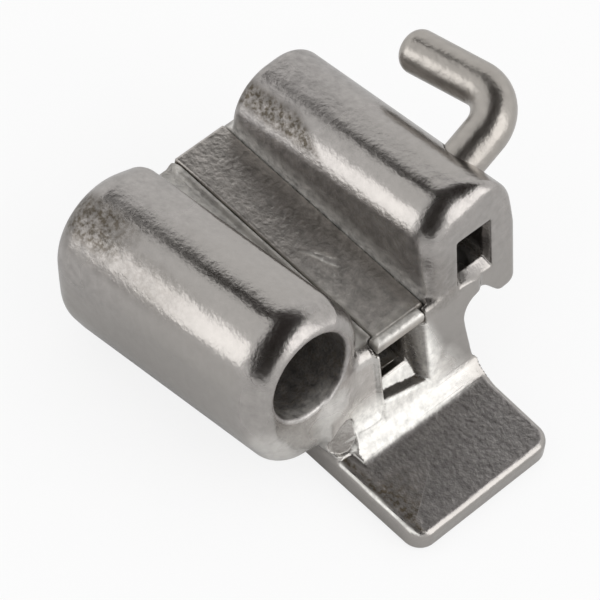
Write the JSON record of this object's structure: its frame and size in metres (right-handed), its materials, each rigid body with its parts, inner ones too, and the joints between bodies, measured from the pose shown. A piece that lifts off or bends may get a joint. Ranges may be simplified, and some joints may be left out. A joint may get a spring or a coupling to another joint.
{
  "type": "buccal tube",
  "caption": "Cast steel orthodontic molar tube: weld base, round headgear tube, capped archwire slot, auxiliary slot and a bent hook.",
  "frame": {"origin": "centre of the flat weld base's underside, below the archwire slot", "axes": "+X mesial, towards the ends where the wires go in; +Y towards the auxiliary tube and the hook; +Z away from the tooth, out of the base"},
  "size_m": [0.0054, 0.005, 0.003],
  "materials": {
    "cast_steel": "tumbled and polished stainless casting",
    "rolled_steel": "matt grained stainless strip",
    "drawn_steel": "polished stainless pin"
  },
  "bodies": {
    "root": {"tube_body": "cast_steel", "slot_cap": "rolled_steel", "hook": "drawn_steel"}
  },
  "joints": []
}
